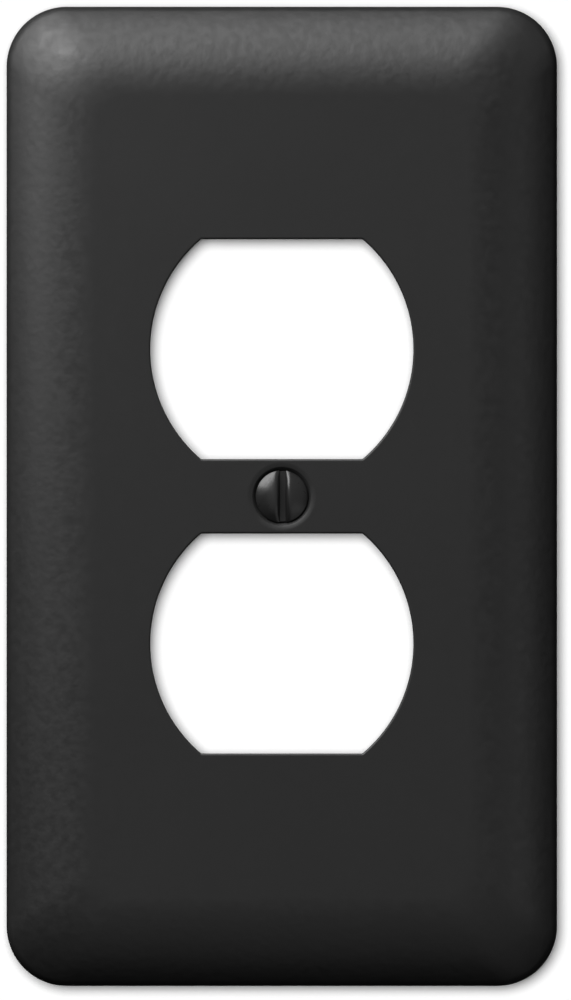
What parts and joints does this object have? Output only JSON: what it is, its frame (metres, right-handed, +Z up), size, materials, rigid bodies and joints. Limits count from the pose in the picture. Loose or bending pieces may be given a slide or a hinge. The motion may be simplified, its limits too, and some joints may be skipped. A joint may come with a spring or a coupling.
{
  "type": "duplex receptacle wall plate",
  "caption": "Pressed steel wall plate with openings for a duplex receptacle, a rolled edge and a slotted oval-head centre screw.",
  "frame": {"origin": "on the centre screw's axis, in the plane of the wall that the rim rests on; the centre of the whole box lies 0.4 mm in front of it", "axes": "+Z up the plate, +X to the right seen from the room, +Y into the wall, so the face looks along -Y"},
  "size_m": [0.0728, 0.0138, 0.1296],
  "materials": {
    "black_coat": "semi-matt black powder coat",
    "screw_finish": "satin black painted head on a zinc-plated steel shank"
  },
  "bodies": {
    "plate": {"wall_plate": "black_coat"},
    "screw": {"plate_screw": "screw_finish"}
  },
  "joints": [
    {"name": "screw_draw", "type": "slide", "parent": "plate", "child": "screw", "axis": [0, -1, 0], "range_m": [0, 0.0143]}
  ]
}
